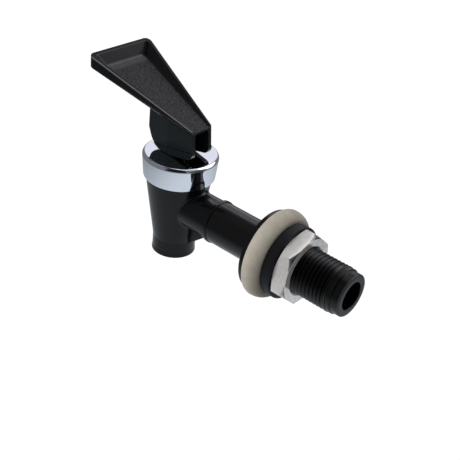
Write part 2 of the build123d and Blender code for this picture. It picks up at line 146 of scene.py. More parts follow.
class Nodes:
    """Short ways to add nodes to one tree. An input may be a plain value or another node's output."""

    def __init__(self, tree):
        self.tree = tree

    def feed(self, socket, value):
        """Links an output to a socket, or sets a plain number, vector or colour on it."""
        if isinstance(value, bpy.types.NodeSocket):
            self.tree.links.new(value, socket)
        elif socket.type == "RGBA":
            socket.default_value = (*value, 1.0)
        else:
            socket.default_value = value

    def add(self, kind, **inputs):
        """New node of a kind, with its inputs given by name."""
        made = self.tree.nodes.new(kind)
        for name, value in inputs.items():
            self.feed(made.inputs[name], value)
        return made

    def calculate(self, operation, first, second=0.0):
        """Result of one sum on one or two numbers."""
        made = self.add("ShaderNodeMath")
        made.operation = operation
        self.feed(made.inputs[0], first)
        self.feed(made.inputs[1], second)
        return made.outputs[0]

    def product(self, first, *others):
        """Product of two or more numbers."""
        for other in others:
            first = self.calculate("MULTIPLY", first, other)
        return first

    def measure(self, operation, vector, fixed):
        """Dot product or distance of a vector and a fixed one."""
        made = self.add("ShaderNodeVectorMath")
        made.operation = operation
        self.feed(made.inputs[0], vector)
        made.inputs[1].default_value = fixed
        return made.outputs["Value"]

    def mix(self, factor, first, second):
        """Number that goes from the first to the second as the factor goes from 0 to 1."""
        return self.add("ShaderNodeMix", Factor=factor, A=first, B=second).outputs["Result"]

    def mix_colors(self, factor, first, second):
        """Colour that goes from the first to the second as the factor goes from 0 to 1."""
        made = self.add("ShaderNodeMix")
        made.data_type = "RGBA"
        self.feed(made.inputs["Factor"], factor)
        self.feed(made.inputs[COLOR_A], first)
        self.feed(made.inputs[COLOR_B], second)
        return made.outputs[COLOR_RESULT]

    def ranged(self, value, low, high, start=0.3, end=0.7, curve="LINEAR"):
        """Low where the value is at the start or before it, high at the end or past it, a climb between."""
        made = self.add("ShaderNodeMapRange", Value=value)
        made.interpolation_type = curve
        limits = {"From Min": start, "From Max": end, "To Min": low, "To Max": high}
        for name, limit in limits.items():
            made.inputs[name].default_value = limit
        return made.outputs["Result"]

    def above(self, value, start, end):
        """Mask that is 0 up to the start and 1 past the end."""
        return self.ranged(value, 0, 1, start, end)

    def below(self, value, start, end):
        """Mask that is 1 up to the start and 0 past the end."""
        return self.ranged(value, 1, 0, start, end)


print("node helpers:", [name for name in vars(Nodes) if not name.startswith("_")])

# %% [markdown]
# Black plastic and chrome are seen by what they mirror, so the room matters more than the lamps. The
# light that falls on the object is plain: an even white world with a darker side and a brighter side.
# Mirrors see a product photographer's room instead, with grey walls, softboxes behind and beside the
# faucet, and a black card on the camera's side that puts the dark bar on the bonnet's shoulder.
#
# Such a room could be built from real panels. Painting it on the world by direction is quicker to
# change, casts no shadow and adds no noise. Each patch is a round spot with a soft edge. It covers
# what was painted before it, so the order matters.

# %% Room
ROOM_WHITE = 1.0
ROOM_LIGHT = 0.75
WALLS = 0.22
MIRRORED_TINT = (0.955, 0.925, 1.0)
WHITE = (1.0, 1.0, 1.0)
BLACK_CARD = 0.01
CARD_FROM, CARD_TO = 90, 152
CARD_EDGE = 0.02

# Each patch has an azimuth, an elevation, a radius and an edge in degrees, and a brightness.
LIGHT_PATCHES = {
    "dim side": (180, 5, 55, 30, 0.12),
    "bright side": (62, -5, 40, 20, 2.1),
}
MIRRORED_PATCHES = {
    "ceiling": (340, 65, 30, 8, 0.30),
    "dark top": (120, 82, 24, 4, 0.03),
    "side softbox": (308, 20, 24, 4, 1.02),
    "upper strip": (309, 52, 8, 3, 1.05),
    "side strip": (311, 38, 6, 3, 1.9),
    "rear spill": (232, 18, 14, 6, 1.4),
    "rear softbox": (243, 40, 20, 7, 3.9),
    "dark corner": (183, 2, 24, 6, 0.02),
}


def patch(nodes, direction, azimuth, elevation, radius, edge):
    """1 inside a round patch of the room and 0 outside it, by the cosine of the angle from its middle."""
    cosine = nodes.measure("DOT_PRODUCT", direction, heading(azimuth, elevation))
    outer, inner = math.radians(radius + edge), math.radians(radius - edge)
    return nodes.ranged(cosine, 0, 1, math.cos(outer), math.cos(inner), "SMOOTHSTEP")


def painted(nodes, direction, walls, patches):
    """Brightness of the walls with each patch in turn laid over what lies behind it."""
    seen = walls
    for *place, brightness in patches.values():
        seen = nodes.mix(patch(nodes, direction, *place), seen, brightness)
    return seen


def card(nodes, direction):
    """1 on the black card, which fills the wedge between two upright planes at all heights."""
    sides = (nodes.measure("DOT_PRODUCT", direction, heading(azimuth, 0))
             for azimuth in (CARD_FROM + 90, CARD_TO - 90))
    return nodes.product(*(nodes.ranged(side, 0, 1, -CARD_EDGE, CARD_EDGE, "SMOOTHSTEP") for side in sides))


print(len(LIGHT_PATCHES), "patches give light,", len(MIRRORED_PATCHES), "are only mirrored")

# %% [markdown]
# Light Path tells the kinds of rays apart. The camera's own rays see plain white, rays sent on by a
# mirror or a clear piece see the painted room, and all others carry the plain light.

# %% World


def ray_kinds(nodes):
    """Two numbers that are 1 for the camera's own rays, and for rays sent on by a mirror or clear piece."""
    path = nodes.add("ShaderNodeLightPath").outputs
    sent_on = nodes.calculate("MAXIMUM", path["Is Glossy Ray"], path["Is Transmission Ray"])
    return path["Is Camera Ray"], sent_on


def add_world():
    """White world for the camera, soft light for the object, and the painted room for mirrors."""
    world = bpy.data.worlds.new("studio")
    bpy.context.scene.world = world
    world.use_nodes = True
    nodes = Nodes(world.node_tree)
    direction = nodes.add("ShaderNodeTexCoord").outputs["Generated"]
    from_camera, sent_on = ray_kinds(nodes)
    light = painted(nodes, direction, ROOM_LIGHT, LIGHT_PATCHES)
    room = painted(nodes, direction, WALLS, MIRRORED_PATCHES)
    room = nodes.mix(card(nodes, direction), room, BLACK_CARD)
    background = world.node_tree.nodes["Background"].inputs
    around = nodes.mix(sent_on, light, room)
    nodes.feed(background["Strength"], nodes.mix(from_camera, around, ROOM_WHITE))
    nodes.feed(background["Color"], nodes.mix_colors(sent_on, WHITE, MIRRORED_TINT))
    return world


world = add_world()
print(world.name, "has", len(world.node_tree.nodes), "nodes")

# %% [markdown]
# The floor lies under the hanging faucet. For light it is matte, so that it keeps the soft shadow. The
# camera and the mirrors see it glow: evenly white for the camera, and in the mirrors like a pool of
# light that dims with distance. That pool is what brightens the lower half of the chrome.

# %% Floor
FLOOR_DROP = 45 * MM
FLOOR_SIZE = 6.0
FLOOR_GREY = (0.8, 0.8, 0.8)
FLOOR_WHITE = 1.15
FLOOR_GLOW = 0.8
FLOOR_TINT = (0.73, 0.77, 0.82)
POOL_CENTRE = (5 * MM, 15 * MM)
POOL_START, POOL_END = 50 * MM, 275 * MM
POOL_BRIGHT, POOL_DIM = 1.02, 0.26


def floor_material(height):
    """Mix of a matte floor and a glowing one; the share and the strength of the glow go by kind of ray."""
    material = bpy.data.materials.new("pale floor")
    material.use_nodes = True
    nodes = Nodes(material.node_tree)
    nodes.tree.nodes.remove(nodes.tree.nodes["Principled BSDF"])
    from_camera, sent_on = ray_kinds(nodes)
    place = nodes.add("ShaderNodeTexCoord").outputs["Object"]
    away = nodes.measure("DISTANCE", place, (*POOL_CENTRE, height))
    pool = nodes.ranged(away, POOL_BRIGHT, POOL_DIM, POOL_START, POOL_END, "SMOOTHSTEP")
    glow = nodes.add("ShaderNodeEmission", Color=nodes.mix_colors(sent_on, WHITE, FLOOR_TINT),
                     Strength=nodes.mix(sent_on, FLOOR_WHITE, pool))
    matte = nodes.add("ShaderNodeBsdfDiffuse", Color=FLOOR_GREY)
    share = nodes.mix(sent_on, nodes.mix(from_camera, 0.0, FLOOR_GLOW), 1.0)
    both = nodes.add("ShaderNodeMixShader", Fac=share)
    nodes.feed(both.inputs[1], matte.outputs[0])
    nodes.feed(both.inputs[2], glow.outputs[0])
    nodes.feed(nodes.tree.nodes["Material Output"].inputs["Surface"], both.outputs[0])
    return material


def add_floor():
    """Square floor with the pool of light in it."""
    height = CAD_BOX[LOW][Z] - FLOOR_DROP
    half = FLOOR_SIZE / 2
    mesh = bpy.data.meshes.new("floor")
    corners = [(-half, -half, height), (half, -half, height), (half, half, height), (-half, half, height)]
    mesh.from_pydata(corners, [], [(0, 1, 2, 3)])
    mesh.materials.append(floor_material(height))
    floor = bpy.data.objects.new("floor", mesh)
    bpy.context.scene.collection.objects.link(floor)
    return floor


floor = add_floor()
print(floor.name, round(FLOOR_DROP / MM), "mm under the spout")

# %% [markdown]
# One large soft lamp overhead gives the matte pieces, the rubber and the grain, a little direction. It
# stays weak, because at a plain level of light a colour renders about as it is written.

# %% Lamp
LAMP_AZIMUTH, LAMP_ELEVATION = 260, 75
LAMP_DISTANCE, LAMP_SIZE, LAMP_POWER = 0.9, 0.6, 1.0


def add_lamp(name):
    """Square soft lamp that faces the middle of the faucet."""
    data = bpy.data.lights.new(name, "AREA")
    data.shape, data.size, data.energy = "SQUARE", LAMP_SIZE, LAMP_POWER
    lamp = bpy.data.objects.new(name, data)
    back = heading(LAMP_AZIMUTH, LAMP_ELEVATION)
    lamp.location = LOOK_AT + back * LAMP_DISTANCE
    lamp.rotation_euler = back.to_track_quat("Z", "Y").to_euler()
    bpy.context.scene.collection.objects.link(lamp)
    return lamp


lamp = add_lamp("overhead softbox")
bpy.context.scene.view_settings.view_transform = "Standard"
print(lamp.name, "is", round(lamp.location.z, 2), "m up")

# %% [markdown]
# A finish is a Principled shader whose colour, roughness and bump come from noise on Object
# coordinates, so that the pattern stays on the piece from every side and in every pose. An image could
# carry the same detail, but it would need a flat map of each piece. Noise sizes are given in
# millimetres: a scale of 1 / size makes one cell of the noise that large.

# %% Helpers for finishes


class Finish(Nodes):
    """A Principled material that is built up by a few plain steps."""

    def __init__(self, name, color, roughness, metallic=0.0, specular=0.5):
        self.material = bpy.data.materials.new(name)
        self.material.use_nodes = True
        super().__init__(self.material.node_tree)
        self.shader = self.tree.nodes["Principled BSDF"]
        self.place = self.add("ShaderNodeTexCoord").outputs["Object"]
        self.send("Base Color", color)
        self.send("Roughness", roughness)
        self.send("Metallic", metallic)
        self.send("Specular IOR Level", specular)

    def send(self, name, value):
        """Sends a value to one of the shader's inputs."""
        self.feed(self.shader.inputs[name], value)

    def noise(self, size_mm, detail=2.0, stretch=(1, 1, 1)):
        """Noise value with cells of a size in mm, drawn out along each axis by the stretch."""
        scale = tuple(1 / (size_mm * MM * factor) for factor in stretch)
        scaled = self.add("ShaderNodeMapping", Vector=self.place, Scale=scale).outputs[0]
        made = self.add("ShaderNodeTexNoise", Vector=scaled, Scale=1.0, Detail=detail)
        return made.outputs["Fac"]

    def bump(self, height, depth_mm):
        """Surface relief from a height value, with its depth in mm; a second call adds to the first."""
        made = self.add("ShaderNodeBump", Height=height, Strength=1.0, Distance=depth_mm * MM)
        before = self.shader.inputs["Normal"].links
        if before:
            self.feed(made.inputs["Normal"], before[0].from_socket)
        self.send("Normal", made.outputs[0])

    def split_place(self):
        """The point's x, y and z, in metres."""
        return self.add("ShaderNodeSeparateXYZ", Vector=self.place).outputs

    def from_axis(self, x, z):
        """Distance from the shank's axis: (x^2 + z^2)^0.5."""
        squares = self.calculate("ADD", self.calculate("POWER", x, 2.0), self.calculate("POWER", z, 2.0))
        return self.calculate("POWER", squares, 0.5)


def dress(piece, finish):
    """Gives a piece one finish for all its faces."""
    piece.data.materials.clear()
    piece.data.materials.append(finish.material)
    print(piece.name, "wears", finish.material.name)


# %% [markdown]
# The body, the stem, the handle and the shank are injection moulded in black plastic. A mould leaves a
# faint skin on the plastic, and the gloss drifts a little over each piece. Without those two, a black
# piece looks like a hole in the picture. The body is the glossier one, and the stem is duller.

# %% Black plastic of the body and the stem
MOULD_TEXTURE, MOULD_DEPTH = 0.35, 0.004
GLOSS_DRIFT = 6.0
BODY_BLACK = (0.0018, 0.0029, 0.0034)
STEM_BLACK = (0.006, 0.006, 0.006)


def mould_texture(finish):
    """Adds the faint skin that a mould leaves on plastic."""
    finish.bump(finish.noise(MOULD_TEXTURE), MOULD_DEPTH)


def moulded_black(name, color, roughness, specular):
    """Black plastic: even colour, with the mould's texture and slow changes of gloss."""
    finish = Finish(name, color, roughness, specular=specular)
    slow = finish.noise(GLOSS_DRIFT, 3.0)
    finish.send("Roughness", finish.ranged(slow, roughness * 0.85, roughness * 1.2))
    finish.send("Base Color", finish.mix_colors(slow, color, tuple(value * 1.25 for value in color)))
    mould_texture(finish)
    return finish


dress(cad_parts["body"], moulded_black("body black plastic", BODY_BLACK, 0.22, 0.23))
dress(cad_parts["stem"], moulded_black("stem black plastic", STEM_BLACK, 0.45, 0.26))

# %% [markdown]
# The handle is a tray on two cheeks. Its finish changes from place to place: leather grain on the
# tray's floor, smooth walls, painted highlights along the rim's outer edge and the tray's lower edge,
# and a painted reflection that makes the cheeks a little greyer. The mesh could be cut into parts for
# that, but the solid has to stay as it is. Each of these places lies in a plane, so a mask can find
# it: a point on the tray's floor is one whose height over the floor's plane is nearly nothing.

# %% Planes of the handle
TRAY_NEAR_END, TRAY_FAR_END = -33.65 * MM, -69.4 * MM
FLOOR_HEIGHT, FLOOR_SLOPE = 29.78 * MM, 17.03
RIM_HEIGHT, RIM_SLOPE = 30.48 * MM, 21.03
LOWER_HEIGHT, LOWER_SLOPE = 28.93 * MM, 18.05
SIDE_ANGLE, SIDE_REACH = math.radians(13.274), -3.230 * MM


def over_slope(finish, height, slope_degrees):
    """Height over a plane that has this height at the tray's near end and rises towards its far end.

    It is (place - point on the plane) . (0, sine of the slope, cosine of the slope).
    """
    slope = math.radians(slope_degrees)
    up = Vector((0, math.sin(slope), math.cos(slope)))
    start = up.dot(Vector((0, TRAY_NEAR_END, height)))
    return finish.calculate("SUBTRACT", finish.measure("DOT_PRODUCT", finish.place, up), start)


def towards_side(finish, x, y):
    """How far out a point lies across the tray's sides: |x| x cosine + y x sine of the sides' angle."""
    across = finish.product(finish.calculate("ABSOLUTE", x), math.cos(SIDE_ANGLE))
    return finish.calculate("ADD", across, finish.product(y, math.sin(SIDE_ANGLE)))


print("the tray is", round((TRAY_NEAR_END - TRAY_FAR_END) / MM, 1), "mm long")

# %% [markdown]
# Leather grain is a field of small round pebbles with creases between them. Voronoi cells have that
# pattern: the distance from a cell's middle is small on a pebble and large in a crease. The same value
# gives both the colour and the relief, and the creases get a painted shade where the relief is low.

# %% Leather grain
PEBBLE = 0.64
# The crease colour is a painted shade in the grain's creases; the slow noise darkens some pebbles towards it.
PEBBLE_BLACK, CREASE_SHADE_BLACK = (0.052, 0.049, 0.055), (0.013, 0.012, 0.015)
WANDER, WANDER_SHARE = 0.9, 0.35
# Bounds of the masks for the painted highlights on the rim's outer edge and the tray's lower edge.
IN_FROM_SIDE, UNDER_RIM = (-0.40 * MM, -0.30 * MM), (-0.30 * MM, -0.20 * MM)
EDGE_FOOT, EDGE_TOP = (-0.02 * MM, 0.0), (0.14 * MM, 0.20 * MM)
OVER_CHEEKS = (-46 * MM, -44.6 * MM)


def leather(finish):
    """Colour and height of the grain, with painted shade in the creases; a slower noise darkens some of the
    pebbles.
    """
    pebbles = finish.add("ShaderNodeTexVoronoi", Vector=finish.place, Scale=1 / (PEBBLE * MM))
    pebbles.feature = "F1"
    creases = finish.above(pebbles.outputs["Distance"], 0.30, 0.70)
    wander = finish.above(finish.noise(WANDER), 0.3, 0.7)
    # Painted shade: the creases are darker than the pebbles.
    color = finish.mix_colors(creases, PEBBLE_BLACK, CREASE_SHADE_BLACK)
    color = finish.mix_colors(finish.product(wander, WANDER_SHARE), color, CREASE_SHADE_BLACK)
    return color, finish.calculate("SUBTRACT", 1.0, creases)


def painted_edge_highlights(finish, x, y, over_lower):
    """Mask of the painted highlights: 1 on the rim's outer edge, and on the tray's lower edge as far as it
    covers the cheeks.
    """
    from_side = finish.calculate("SUBTRACT", towards_side(finish, x, y), SIDE_REACH)
    outer = finish.above(from_side, *IN_FROM_SIDE)
    top = finish.above(over_slope(finish, RIM_HEIGHT, RIM_SLOPE), *UNDER_RIM)
    lower = finish.product(finish.above(over_lower, *EDGE_FOOT), finish.below(over_lower, *EDGE_TOP),
                           finish.below(y, *OVER_CHEEKS))
    return finish.calculate("MAXIMUM", finish.product(outer, top), lower)


print("one pebble is", PEBBLE, "mm across")

# %% [markdown]
# The handle's finish puts these together. The grain fades into a smooth strip where the floor turns
# up into the ramp at the tray's far end, and that strip is paler by a painted highlight. The cheeks
# get a painted reflection, darker on the shank's side.

# %% Black plastic of the handle
SMOOTH_BLACK = (0.0028, 0.0034, 0.0038)
# The cheeks' colours are a painted reflection, greyer away from the shank and darker on the shank's side.
CHEEK_REFLECTION_BLACK, CHEEK_DARK_REFLECTION_BLACK = (0.0074, 0.0112, 0.0138), (0.0044, 0.0074, 0.0082)
# Paler colour of the painted highlights on the rim's outer edge and the tray's lower edge.
EDGE_HIGHLIGHT_GREY = (0.150, 0.152, 0.158)
# Paler colour of the painted highlight on the smooth strip at the tray's far end.
FAR_END_HIGHLIGHT = (0.072, 0.070, 0.078)
CHEEK_STEP = -44.35 * MM
GRAIN_REACH = (0.08 * MM, 0.25 * MM)
GRAIN_ROUGHNESS, GRAIN_DEPTH = 0.6, 0.12


def handle_plastic():
    """Satin black plastic with a leather grain on the floor of the tray and nowhere else, painted highlights
    on its edges and far strip, and a painted reflection on the cheeks.
    """
    finish = Finish("handle black plastic", SMOOTH_BLACK, 0.24, specular=0.26)
    mould_texture(finish)
    x, y, _ = finish.split_place()
    from_floor = finish.calculate("ABSOLUTE", over_slope(finish, FLOOR_HEIGHT, FLOOR_SLOPE))
    on_floor = finish.below(from_floor, *GRAIN_REACH)
    far_strip = finish.below(y, TRAY_FAR_END + 0.9 * MM, TRAY_FAR_END + 1.9 * MM)
    smooth_highlight_strip = finish.product(on_floor, far_strip)
    grain, pebbles = leather(finish)
    # The smooth strip at the far end gets a painted highlight.
    grain = finish.mix_colors(smooth_highlight_strip, grain, FAR_END_HIGHLIGHT)
    over_lower = over_slope(finish, LOWER_HEIGHT, LOWER_SLOPE)
    near_shank = finish.above(y, CHEEK_STEP - 0.25 * MM, CHEEK_STEP + 0.25 * MM)
    # Painted reflection on the cheeks, darker on the shank's side.
    cheek = finish.mix_colors(near_shank, CHEEK_REFLECTION_BLACK, CHEEK_DARK_REFLECTION_BLACK)
    tone = finish.mix_colors(finish.below(over_lower, -0.1 * MM, 0.0), SMOOTH_BLACK, cheek)
    # Painted highlights on the rim's outer edge and along the tray's lower edge.
    tone = finish.mix_colors(painted_edge_highlights(finish, x, y, over_lower), tone, EDGE_HIGHLIGHT_GREY)
    finish.send("Base Color", finish.mix_colors(on_floor, tone, grain))
    gloss = finish.ranged(finish.noise(5.0, 3.0), 0.20, 0.30)
    finish.send("Roughness", finish.mix(on_floor, gloss, GRAIN_ROUGHNESS))
    finish.bump(finish.product(pebbles, finish.calculate("SUBTRACT", on_floor, smooth_highlight_strip)), GRAIN_DEPTH)
    return finish


dress(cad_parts["handle"], handle_plastic())

# %% [markdown]
# The pin and the spring are steel, and the valve's cup and the shank's gasket are silicone. All four are
# inside and show only when the faucet is taken apart, so they get plain but true finishes: drawn wire
# has fine lines along it, and silicone is milky because light enters it a little way.

# %% Steel and silicone
STEEL_GREY = (0.55, 0.54, 0.52)
SILICONE_WHITE = (0.68, 0.67, 0.63)
SILICONE_DEPTH = (0.001, 0.001, 0.001)


def drawn_steel():
    """Drawn stainless wire: grey metal with fine lines."""
    finish = Finish("stainless wire", STEEL_GREY, 0.3, metallic=1.0)
    finish.send("Roughness", finish.ranged(finish.noise(0.4, 3.0), 0.22, 0.4))
    finish.bump(finish.noise(0.1, 2.0, (8, 1, 1)), 0.003)
    return finish


def soft_silicone():
    """Silicone: milky, soft and slightly glossy."""
    finish = Finish("silicone", SILICONE_WHITE, 0.4)
    finish.send("Subsurface Weight", 0.2)
    finish.send("Subsurface Radius", SILICONE_DEPTH)
    finish.send("Roughness", finish.ranged(finish.noise(2.0), 0.34, 0.5))
    finish.bump(finish.noise(0.5), 0.01)
    return finish


steel, silicone = drawn_steel(), soft_silicone()
dress(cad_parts["pivot_pin"], steel)
dress(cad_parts["shank_gasket"], silicone)

# %% [markdown]
# The other pieces get a finer surface than the solid's. A turned piece is a section carried round an
# axis. A screw modifier could do that, but worked out as one array the surface is closed and exact.
# The section is a run of corners, each with its own rounding, because a real edge is never perfectly
# sharp, and its rounding is what catches the light.

# %% Section with round corners


def soft_section(corners, steps=6):
    """Closed section with round corners, as an array of (radius, along) rows.

    Each corner is (radius, along, rounding). The arc starts and ends at the tangent points, which lie
    rounding / tan(half the angle between the two sides) from the corner.
    """
    spots = np.array([corner[:2] for corner in corners], float)
    rows = []
    for index, (_, _, rounding) in enumerate(corners):
        spot = spots[index]
        if rounding == 0:
            rows.append(spot[None])
            continue
        to_last = spots[index - 1] - spot
        to_next = spots[(index + 1) % len(spots)] - spot
        to_last /= np.linalg.norm(to_last)
        to_next /= np.linalg.norm(to_next)
        half = math.acos(np.clip(to_last @ to_next, -1, 1)) / 2
        bisector = (to_last + to_next) / np.linalg.norm(to_last + to_next)
        centre = spot + bisector * rounding / math.sin(half)
        first = spot + to_last * rounding / math.tan(half) - centre
        last = spot + to_next * rounding / math.tan(half) - centre
        share = np.linspace(0, 1, steps + 1)[:, None]
        sweep = math.pi - 2 * half
        arc = (np.sin((1 - share) * sweep) * first + np.sin(share * sweep) * last) / math.sin(sweep)
        rows.append(centre + arc)
    return np.concatenate(rows)


print("a soft square has", len(soft_section([(1, 0, 0.1), (2, 0, 0.1), (2, 1, 0.1), (1, 1, 0.1)])), "points")

# %% [markdown]
# A grid of points becomes a mesh when each point is joined to its neighbours in the next row and
# column. Both directions close on themselves here, like the skin of a ring, so no edge is left open.
# Which way the faces look depends on the order of the points. The sign of the volume that they enclose
# tells, and the faces are turned round if it is negative.

# %% Grids and turned surfaces
FLAT_ENOUGH = math.radians(50)


def grid_mesh(name, points):
    """Closed mesh of four-sided faces over a grid of points, with its faces turned outwards.

    The signed volume is the sum of corner . (next corner x last corner) over the faces.
    """
    index = np.arange(points.shape[0] * points.shape[1]).reshape(points.shape[:2])
    down = np.roll(index, -1, 0)
    faces = np.stack([index, down, np.roll(down, -1, 1), np.roll(index, -1, 1)], -1).reshape(-1, 4)
    flat = points.reshape(-1, 3)
    a, b, c, d = (flat[faces[:, side]] for side in range(4))
    volume = (a * np.cross(b, c)).sum() + (a * np.cross(c, d)).sum()
    if volume < 0:
        faces = faces[:, ::-1]
    mesh = bpy.data.meshes.new(name)
    mesh.from_pydata(flat.tolist(), [], faces.tolist())
    mesh.polygons.foreach_set("use_smooth", np.ones(len(faces), bool))
    mesh.set_sharp_from_angle(angle=FLAT_ENOUGH)
    piece = bpy.data.objects.new(name, mesh)
    bpy.context.scene.collection.objects.link(piece)
    return piece


def turned(name, section, turns, upright=False):
    """Surface of a section carried round the shank's axis, or round the spout's axis if upright.

    x = radius x sine and z = radius x cosine of the angle about the shank; about the spout, the angle
    lies in the XY plane.
    """
    angle = np.linspace(0, 2 * np.pi, turns, endpoint=False)[:, None]
    radius, along = section[None, :, 0] * MM, section[None, :, 1] * MM
    still = np.zeros_like(angle)
    if upright:
        spots = (radius * np.cos(angle), radius * np.sin(angle) + SPOUT_Y, along + still)
    else:
        spots = (radius * np.sin(angle), along + still, radius * np.cos(angle))
    return grid_mesh(name, np.stack(spots, -1))


print("edges past", round(math.degrees(FLAT_ENOUGH)), "degrees stay sharp")

# %% [markdown]
# A finer surface stands for its solid: the solid is hidden and stays for the simulation, and the
# surface takes its finish slot and moves with its body.


def stands_for(piece, node, finish, body=None):
    """Dresses a piece and its solid, lets it stand for the solid, and lets it ride on a body if named."""
    dress(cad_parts[node], finish)
    dress(piece, finish)
    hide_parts(node)
    if body:
        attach(piece, body)
    print(piece.name, "has", len(piece.data.polygons), "faces")


# %% [markdown]
# The bonnet is a chromed cap that screws on the body and holds the valve. Its mirror shows every facet,
# so it is turned again with a fine section: a flat top with the hole for the stem, a soft shoulder, and
# a wall that leans in at the foot. The plating is a clear mirror with a slow waviness, because a thin
# moulded cap is never quite even.

# %% Bonnet
SHOULDER_RADIUS, FOOT_RADIUS = 13.12, 12.3
STEM_HOLE, NECK_BORE, TOP_PLATE = 2.68, 11.0, 1.9
CHROME = (0.72, 0.76, 0.82)


def plated_chrome():
    """Chrome plating: a clear mirror with a slow waviness and a few softer patches."""
    finish = Finish("bonnet chrome", CHROME, 0.05, metallic=1.0)
    finish.send("Roughness", finish.ranged(finish.noise(2.0, 4.0), 0.02, 0.07))
    finish.bump(finish.noise(7.0, 1.0), 0.01)
    return finish


foot, top = reach("bonnet", Z, LOW), reach("bonnet", Z, HIGH)
bonnet = turned("bonnet_cap", soft_section([
    (STEM_HOLE, top, 0.15),
    (STEM_HOLE, top - TOP_PLATE, 0.1),
    (NECK_BORE, top - TOP_PLATE, 0.2),
    (NECK_BORE, foot, 0.1),
    (FOOT_RADIUS, foot, 0.7),
    (SHOULDER_RADIUS, top, 1.25),
], 10), 192, upright=True)
stands_for(bonnet, "bonnet", plated_chrome(), "root")

# %% [markdown]
# The outer washer is a thick ring of beige rubber that seals on the flange. It is a dome: widest near
# the flange, and curving in towards the tank's wall, so its section is two quarters of an ellipse. A
# curved rubber face shows its softness by the slow change of light across it. Shade is painted on the
# rubber, darker towards its front by the wall and most of all at the foot, by the product of two masks.

# %% Outer washer
WASHER_BORE = 8.0975
CROWN, BACK_INSET, FRONT_INSET = 1.7, 1.2, 2.7
QUARTER_STEPS = 16
BEIGE = (0.52, 0.475, 0.40)
DARKER_BEIGE, LIGHTER_BEIGE = (0.455, 0.415, 0.345), (0.545, 0.50, 0.425)
SPECK_BEIGE, SHADED_BEIGE = (0.30, 0.27, 0.225), (0.17, 0.153, 0.122)


def pale_rubber():
    """Beige rubber: matte, with fine specks and a faint flow of tone, and painted shade at its front and
    foot.
    """
    finish = Finish("washer beige rubber", BEIGE, 0.62, specular=0.3)
    flow = finish.above(finish.noise(3.5, 3.0), 0.3, 0.7)
    tone = finish.mix_colors(flow, DARKER_BEIGE, LIGHTER_BEIGE)
    specks = finish.above(finish.noise(0.25, 1.0), 0.62, 0.75)
    tone = finish.mix_colors(specks, tone, SPECK_BEIGE)
    _, y, z = finish.split_place()
    # Painted shade: darker towards the front face, and more so towards the foot.
    shade_at_front = finish.above(y, 2.2 * MM, 5.6 * MM)
    shade_towards_foot = finish.ranged(z, 1.0, 0.2, -9 * MM, 12 * MM)
    finish.send("Base Color", finish.mix_colors(finish.product(shade_at_front, shade_towards_foot), tone, SHADED_BEIGE))
    finish.bump(finish.noise(0.3), 0.012)
    return finish


def quarter(centre, reach_out, reach_along, start):
    """Quarter of an ellipse as (radius, along) rows: centre + (reach x cosine, reach x sine)."""
    turn = np.radians(np.linspace(start, start + 90, QUARTER_STEPS))
    return np.column_stack([centre[0] + reach_out * np.cos(turn), centre[1] + reach_along * np.sin(turn)])


def domed_section(radius, back, front):
    """Closed section of the outer washer, from the flange round the dome to the front face."""
    crown = back + CROWN
    dome = np.concatenate([
        quarter((radius - BACK_INSET, crown), BACK_INSET, CROWN, -90),
        quarter((radius - FRONT_INSET, crown), FRONT_INSET, front - crown, 0)[1:],
    ])
    return np.concatenate([[(WASHER_BORE, back)], dome, [(WASHER_BORE, front)]])


back, front = reach("outer_washer", Y, LOW), reach("outer_washer", Y, HIGH)
section = domed_section(reach("outer_washer", X, HIGH), back, front)
stands_for(turned("outer_washer_ring", section, 160), "outer_washer", pale_rubber(), "root")

# %% [markdown]
# The inner washer is a flatter ring of black rubber, which the nut presses on. It is cut from sheet, so
# its faces are flat and only its edges are round. Black rubber is matte and a little cold in tone.

# %% Inner washer
RUBBER_BLACK = (0.006, 0.0065, 0.009)
DARKER_RUBBER, LIGHTER_RUBBER = (0.0045, 0.005, 0.0075), (0.008, 0.0085, 0.012)


def black_rubber():
    """Black rubber: matte, cold in tone, with a fine grain."""
    finish = Finish("washer black rubber", RUBBER_BLACK, 0.55, specular=0.22)
    finish.send("Base Color", finish.mix_colors(finish.noise(3.0, 3.0), DARKER_RUBBER, LIGHTER_RUBBER))
    finish.bump(finish.noise(0.2), 0.01)
    return finish


back, front = reach("inner_washer", Y, LOW), reach("inner_washer", Y, HIGH)
outside = reach("inner_washer", X, HIGH)
section = soft_section([
    (WASHER_BORE, back, 0.1),
    (outside, back, 0.35),
    (outside, front, 0.35),
    (WASHER_BORE, front, 0.25),
])
stands_for(turned("inner_washer_ring", section, 160), "inner_washer", black_rubber(), "inner_washer")

# %% [markdown]
# The nut is a hexagon bar, drilled and chamfered. Each chamfer is a cone, and where it meets the flats
# it leaves the curved edges that make a nut look like a nut. A boolean of a cone and a prism would give
# the same shape with poor faces. In a grid over the angle and the section, the flats simply set how far
# out the section reaches at each angle.

# %% Shape of the nut
ACROSS_FLATS, CORNER_ANGLE = 22.225, 41.2
FLAT = ACROSS_FLATS / 2
CHAMFER_RISE = math.tan(math.radians(30))
NUT_BORE, NUT_BORE_CHAMFER = 7.9975, 0.7
NUT_TURNS = 360
NUT_SHARP = math.radians(20)
nut_back, nut_front = reach("mounting_nut", Y, LOW), reach("mounting_nut", Y, HIGH)


def hexagon_reach(angle):
    """Distance from the axis to the flats: half the width / cosine of the angle from a flat's middle."""
    from_flat = (angle + math.pi / 6) % (math.pi / 3) - math.pi / 6
    return FLAT / np.cos(from_flat)


